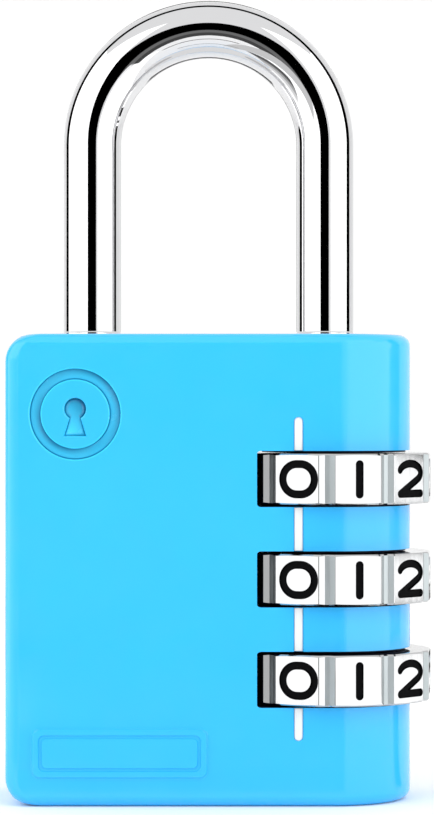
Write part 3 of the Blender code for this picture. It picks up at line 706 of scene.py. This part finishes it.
def pad_frame(digit, z):
    """Function that puts a point of a digit on its pad."""
    normal, right = (axis.to_3d() for axis in pad_axes(digit))
    base = Vector((AXIS_X, 0.0, z))

    def place(point, out):
        along = DIGIT_SHIFT + point[0] * MM
        return base + normal * out + right * along + Vector((0.0, 0.0, point[1] * MM))

    return place


def dial_loop(z, side=0.0, at_rim=0.0):
    """Ten flat pads with softened edges, grooves between them and a small bevel round the rim."""
    flat = [(PAD_HALF * share, PAD_APOTHEM) for share in (-0.75, -0.5, -0.25, 0.0, 0.25, 0.5, 0.75)]
    profile = [(-PAD_HALF - PAD_BEVEL, PAD_APOTHEM - PAD_BEVEL),
               (-PAD_HALF - MICRO_BEVEL, PAD_APOTHEM - MICRO_BEVEL), (-PAD_HALF + MICRO_BEVEL, PAD_APOTHEM),
               *flat, (PAD_HALF - MICRO_BEVEL, PAD_APOTHEM),
               (PAD_HALF + MICRO_BEVEL, PAD_APOTHEM - MICRO_BEVEL),
               (PAD_HALF + PAD_BEVEL, PAD_APOTHEM - PAD_BEVEL)]
    points = []
    for pad in range(10):
        normal, right = pad_axes(pad)
        for along, out in profile:
            point = normal * out + right * along
            bevel = RIM_BEVEL + 0.25 * max(0.0, point.length - PAD_APOTHEM)
            point = point * (1.0 - at_rim * bevel / point.length)
            points.append((AXIS_X + point.x, point.y, z - side * bevel * (1.0 - at_rim)))
    return points


def keyway_loop(z):
    """Outline of the dial's upper bore, with ten keyways for the clutch sleeve."""
    points = []
    half = math.asin(0.75 * MM / BORE_RADIUS)
    for key in range(10):
        middle = math.radians(0.5 * PAD_TURN + PAD_TURN * key)
        spots = [(DIAL_BORE, -half * 1.1), (BORE_RADIUS, -half), (BORE_RADIUS, 0.0),
                 (BORE_RADIUS, half), (DIAL_BORE, half * 1.1)]
        spots += [(DIAL_BORE, math.radians(step)) for step in (12.0, 18.0, 24.0)]
        for radius, angle in spots:
            points.append((AXIS_X + radius * math.cos(middle + angle), radius * math.sin(middle + angle), z))
    return points


def mark_grooves(dial, satin):
    """The floor and one flank of the grooves between the pads are left unpolished."""
    bore_limit = 8.0 * MM
    dial.data.materials.append(satin)
    for poly in dial.data.polygons:
        c = poly.center
        x = c.x - AXIS_X
        if math.hypot(x, c.y) < bore_limit or abs(poly.normal.z) > 0.3:
            continue
        turn = math.degrees(math.atan2(x, -c.y)) - FIRST_PAD
        from_groove = (turn % PAD_TURN) - 0.5 * PAD_TURN
        if GROOVE_SATIN[0] < from_groove < GROOVE_SATIN[1]:
            poly.material_index = 1


def make_dial(index, metal, satin, ink):
    z = DIAL_Z[index]
    low = z - DIAL_HALF
    high = z + DIAL_HALF
    name = DIALS[index]
    bm = bmesh.new()
    loft(bm, [dial_loop(low, at_rim=1.0), dial_loop(low, -1.0),
              dial_loop(high, 1.0), dial_loop(high, at_rim=1.0)])
    dial = to_object(bm, "plated_dial_" + name, metal)
    bore(dial, AXIS_X, ((BORE_RADIUS + 0.2 * MM, low - 1.0 * MM), (BORE_RADIUS + 0.2 * MM, low),
                        (BORE_RADIUS, low + 0.2 * MM), (BORE_RADIUS, z)), 80)
    bm = bmesh.new()
    loft(bm, [keyway_loop(z - 0.4 * MM), keyway_loop(high + 1.0 * MM)])
    carve(dial, bm)
    floor = PAD_APOTHEM - DIGIT_DEPTH
    first = bmesh.new()
    second = bmesh.new()
    fill = bmesh.new()
    for digit in range(10):
        place = pad_frame(digit, z)
        for number, (points, closed) in enumerate(digit_strokes(digit)):
            # a second stroke crosses the first, so it lies a hair higher and no two faces share a plane
            foot = floor + 0.004 * MM * number
            cut = ((foot, -0.02), (PAD_APOTHEM + 0.1 * MM, 0.02))
            add_stroke(first if number == 0 else second, points, closed, place, cut)
            skin = ((foot + 0.01 * MM, -0.03), (foot + 0.21 * MM, -0.015), (foot + 0.25 * MM, -0.06))
            add_stroke(fill, points, closed, place, skin)
    carve(dial, first)
    carve(dial, second)
    mark_grooves(dial, satin)
    shade(dial, 15.0)
    ink_piece = to_object(fill, "digit_fill_" + name, ink, 30.0)
    body = "dial_%s_assembly" % name
    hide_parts("dial_" + name)
    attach(dial, body)
    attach(ink_piece, body)


# ---------------------------------------------------------------- inner parts keep their CAD shape

def dress_cad_nodes(materials):
    for name, obj in frame["nodes"].items():
        for prefix, mat in materials.items():
            if name.startswith(prefix):
                obj.data.materials.clear()
                obj.data.materials.append(mat)


# ---------------------------------------------------------------- stage, light and camera

WORLD = 1.04                    # strengths of the white surroundings and of the softboxes
SOFTBOX = 2.0
BLACK = 0.0                     # strengths of the flags, from black to pale
DARK = 0.08
DIM = 0.2
KERB = 0.3
FADE = 0.8
SOFTBOX_DISTANCE = 0.55         # distances from the object and a height, in metres
SOFTBOX_TOP = 0.60
RING_DISTANCE = 0.5
FLAG_DISTANCE = 0.30
FOCAL_PIXELS = 3000.0           # the camera's focal length in pixels of the photo, and the photo's height
PHOTO_HEIGHT = 815.0


def bearing(degrees, distance):
    """The point at a distance from the object: 0 degrees is in front, + is to the right."""
    a = math.radians(degrees)
    return distance * math.sin(a), -distance * math.cos(a)


def glow(name, strength):
    """A black material that gives off white light."""
    return new_material(name, (0.0, 0.0, 0.0), 0.0, 1.0, Specular_IOR_Level=0.0,
                        Emission_Color=(1.0, 1.0, 1.0, 1.0), Emission_Strength=strength)


def put_on_stage(obj, mirror_only):
    """Hide a light or flag from the camera; a mirror_only one shows in reflections and lights nothing."""
    obj.visible_camera = False
    obj.visible_shadow = False
    obj.visible_diffuse = not mirror_only


def panel(name, corners, strength, mirror_only=False):
    """A flat light or flag: four corners in order; a strength of BLACK makes it a plain black flag."""
    mesh = bpy.data.meshes.new(name)
    mesh.from_pydata(corners, [], [(0, 1, 2, 3)])
    mesh.materials.append(glow(name, strength))
    obj = bpy.data.objects.new(name, mesh)
    bpy.context.scene.collection.objects.link(obj)
    put_on_stage(obj, mirror_only or strength == BLACK)


def upright(name, end_a, end_b, z0, z1, strength, mirror_only=False):
    """An upright panel between two points of the floor plan."""
    (x0, y0), (x1, y1) = end_a, end_b
    panel(name, [(x0, y0, z0), (x1, y1, z0), (x1, y1, z1), (x0, y0, z1)], strength, mirror_only)


def floor_panel(name, start_deg, end_deg, near, far, z, strength):
    """A sector lying just over the floor, seen only in reflections."""
    corners = []
    for degrees, distance in ((start_deg, near), (end_deg, near), (end_deg, far), (start_deg, far)):
        corners.append((*bearing(degrees, distance), z))
    panel(name, corners, strength, mirror_only=True)


def ring_flag(name, start_deg, end_deg, from_turn, to_turn):
    """A black band of a cone round the bow: the thin dark line that a mirror-bright rod picks up."""
    bm = bmesh.new()
    rows = []
    steps = 40
    for i in range(steps + 1):
        turn = math.radians(from_turn + (to_turn - from_turn) * i / steps)
        share = 0.5 - 0.5 * math.cos(math.pi * i / steps)
        lower, upper = (a + (b - a) * share for a, b in zip(start_deg, end_deg))
        tip = min(1.0, 0.25 + i / 2.0)  # the band starts narrow and is at full width two steps on
        row = []
        for k in (-0.5, 0.5):
            out, y = bearing(0.5 * (lower + upper) + k * tip * (upper - lower), RING_DISTANCE)
            row.append(bm.verts.new((out * math.cos(turn), y, BOW_Z + out * math.sin(turn))))
        rows.append(row)
    for a, b in zip(rows, rows[1:]):
        bm.faces.new((a[0], a[1], b[1], b[0]))
    put_on_stage(to_object(bm, name, glow(name + "_paint", BLACK)), mirror_only=True)


def make_floor():
    """A pale seamless sweep: flat under the lock, curving up far behind it."""
    bm = bmesh.new()
    width = 3.0
    bend_y = 0.9
    bend = 0.6
    rows = [(-1.2, 0.0), (bend_y, 0.0)]
    for i in range(1, 17):
        a = math.radians(90.0 * i / 16)
        rows.append((bend_y + bend * math.sin(a), bend - bend * math.cos(a)))
    rows.append((bend_y + bend, 2.6))
    verts = [[bm.verts.new((x, y, z)) for x in (-width, width)] for y, z in rows]
    for a, b in zip(verts, verts[1:]):
        bm.faces.new((a[0], a[1], b[1], b[0]))
    mat = new_material("pale_sweep", (0.95, 0.95, 0.95), 0.0, 0.9)
    vary_colour(mat, add_noise(mat, 9.0, 2.0), (0.945, 0.945, 0.945), (0.955, 0.955, 0.955))
    to_object(bm, "floor", mat, 60.0)


def make_world():
    world = bpy.data.worlds.new("studio")
    world.use_nodes = True
    background = world.node_tree.nodes["Background"]
    background.inputs["Color"].default_value = (1.0, 1.0, 1.0, 1.0)
    background.inputs["Strength"].default_value = WORLD
    bpy.context.scene.world = world


def make_softboxes():
    """Large lights to the left and right, upright and carried on along the floor."""
    foot = 0.002
    near = 0.09
    level = 0.0003
    for start, middle, end, tag in ((-17.5, -82.0, -110.0, "left"), (22.5, 82.0, 110.0, "right")):
        ends = [bearing(degrees, SOFTBOX_DISTANCE) for degrees in (start, middle, end)]
        upright("softbox_front_" + tag, ends[0], ends[1], foot, SOFTBOX_TOP, SOFTBOX)
        upright("softbox_side_" + tag, ends[1], ends[2], foot, SOFTBOX_TOP, SOFTBOX)
        floor_panel("softbox_low_" + tag, start, middle, near, SOFTBOX_DISTANCE, level, SOFTBOX)
        floor_panel("softbox_low_side_" + tag, middle, end, near, SOFTBOX_DISTANCE, level, SOFTBOX)


def make_side_flags():
    """Black flags to the right, upright and on the floor, mirrored by the right-hand edges."""
    level = 0.0006
    start, end = 91.0, 114.0
    for number, (low, high) in enumerate(((26.4, 46.0), (8.3, 16.3))):
        upright("flag_side_%d" % number, bearing(start, FLAG_DISTANCE), bearing(end, FLAG_DISTANCE),
                low * MM, high * MM, BLACK)
    floor_panel("flag_low_0", start, end, 0.180, 0.275, level, BLACK)
    corners = []
    for degrees, reach in ((84.0, 0.022), (start, 0.022), (107.0, 0.100), (96.0, 0.100)):
        corners.append((*bearing(degrees, reach), level))
    panel("flag_low_1", corners, BLACK)


def make_fades():
    """Low panels round the body's left front edge, which grade the light along it."""
    reach = 0.030
    steps = ((-17.5, -37.0, 0.15), (-37.0, -54.0, 0.55), (-54.0, -74.0, 0.95), (-74.0, -86.0, 1.5))
    for number, (start, end, strength) in enumerate(steps):
        ends = []
        for degrees in (start, end):
            a = math.radians(degrees)
            ends.append((-17.0 * MM + reach * math.sin(a), -6.5 * MM - reach * math.cos(a)))
        upright("fade_left_%d" % number, ends[0], ends[1], 0.0, 41.0 * MM, strength, mirror_only=True)


def make_dial_fades():
    """A dimmer stretch beside the left softboxes, mirrored by the dials' left-hand pads."""
    distance = 0.29
    start, end = -18.0, -36.0
    upright("fade_dial", bearing(start, distance), bearing(end, distance), 0.0, 0.046, FADE, mirror_only=True)
    floor_panel("fade_dial_low", start, end, 0.03, distance, 0.0005, FADE)


def make_table_flags():
    """Dark strips on the floor in front and behind, narrowing and darkening towards the lock."""
    level = 0.0004
    rows = ((0.31, -0.10, 0.085), (0.21, -0.085, 0.073), (0.118, -0.07, 0.06))
    for side, tag in ((1.0, "front"), (-1.0, "back")):
        for (far, far_left, far_right), (near, left, right), strength in zip(rows, rows[1:], (DIM, DARK)):
            panel("flag_table_%s_%d" % (tag, round(1000 * far)),
                  [(far_left, -far * side, level), (far_right, -far * side, level),
                   (right, -near * side, level), (left, -near * side, level)], strength, mirror_only=True)


def make_bow_card():
    """A white card over the body's top, which the bow mirrors instead of the blue paint."""
    x, y, z = 0.0165, 0.0062, 0.0408
    panel("card_under_bow", [(-x, -y, z), (x, -y, z), (x, y, z), (-x, y, z)], 1.0, mirror_only=True)


def make_kerbs():
    """Low grey kerbs in front of the lock, mirrored in the foot of its body and dials."""
    left = -0.0195
    for number, (y, right, height) in enumerate(((67.0, 30.0, 6.0), (32.0, 19.5, 4.2), (17.0, 14.8, 2.0))):
        upright("flag_kerb_%d" % number, (left, -y * MM), (right * MM, -y * MM), 0.0, height * MM, KERB,
                mirror_only=True)


def make_front_and_back_flags():
    """Upright dark flags in front and behind, for the dark lines down the middle of the rod."""
    left = -0.100
    right = 0.083
    for name, y, inset, low, high, strength in (
            ("flag_front_low", -FLAG_DISTANCE, 0.0, -0.086, 0.027, DIM),
            ("flag_front", -FLAG_DISTANCE, 0.0, 0.027, 0.182, BLACK),
            ("flag_back", FLAG_DISTANCE, 0.04, 0.045, 0.240, BLACK)):
        upright(name, (left + inset, y), (right - inset, y), low, high, strength, mirror_only=True)


def make_lights():
    make_world()
    make_softboxes()
    make_side_flags()
    make_fades()
    ring_flag("flag_ring_right", (95.7, 115.0), (97.0, 108.0), -6.0, 90.0)
    ring_flag("flag_ring_left", (108.5, 127.0), (97.0, 108.0), 186.0, 90.0)
    make_dial_fades()
    make_table_flags()
    make_bow_card()
    make_kerbs()
    make_front_and_back_flags()


def make_camera():
    """A level camera in front of the lock, a little above its middle."""
    sensor = 36.0
    data = bpy.data.cameras.new("camera")
    data.lens = FOCAL_PIXELS / PHOTO_HEIGHT * sensor
    data.sensor_width = sensor
    data.clip_start = 0.01
    camera = bpy.data.objects.new("camera", data)
    camera.location = (0.63 * MM, -0.2632, 34.16 * MM)
    camera.rotation_euler = (math.radians(90.0), 0.0, 0.0)
    bpy.context.scene.collection.objects.link(camera)
    bpy.context.scene.camera = camera


def main():
    paint = make_paint()
    chrome = make_plating("mirror_chrome", (0.69, 0.69, 0.70), 0.02, 0.05, (1.0, 1.0, 0.25))
    nickel = make_plating("bright_nickel", (0.52, 0.525, 0.53), 0.04, 0.09, (1.0, 1.0, 0.2))
    satin = make_plating("satin_nickel", (0.45, 0.49, 0.50), 0.42, 0.54, (1.0, 1.0, 0.2), 1800.0, 0.12)
    white = make_white()
    ink = make_ink()
    make_body(paint)
    make_index_line(white)
    make_shackle(chrome)
    for index in range(len(DIALS)):
        make_dial(index, nickel, satin, ink)
    steel = make_turned("washer_steel_turned", (0.56, 0.57, 0.58), 0.25, 0.42)
    dress_cad_nodes({
        # the sleeve's near-black colour is painted shade, keeping it dark where it shows through the gaps
        # round the dials
        "clutch_sleeve": make_turned("sleeve_steel_painted_shade", (0.10, 0.10, 0.105), 0.42, 0.6),
        "spindle": make_turned("spindle_steel_turned", (0.52, 0.53, 0.54), 0.25, 0.4),
        "spacer_washer": steel,
        "thrust_washer": steel,
        "clutch_spring": make_turned("spring_wire", (0.47, 0.47, 0.48), 0.2, 0.35),
        "retaining_ring": make_turned("ring_phosphate", (0.28, 0.28, 0.29), 0.35, 0.5),
        "detent_spring": make_turned("leaf_bronze_rolled", (0.66, 0.42, 0.24), 0.2, 0.36),
        "bottom_plug": make_turned("plug_zinc_cast", (0.60, 0.61, 0.62), 0.28, 0.45),
    })
    make_floor()
    make_lights()
    make_camera()
    bpy.context.scene.view_settings.view_transform = "Standard"
    bpy.context.scene.view_settings.look = "None"


main()
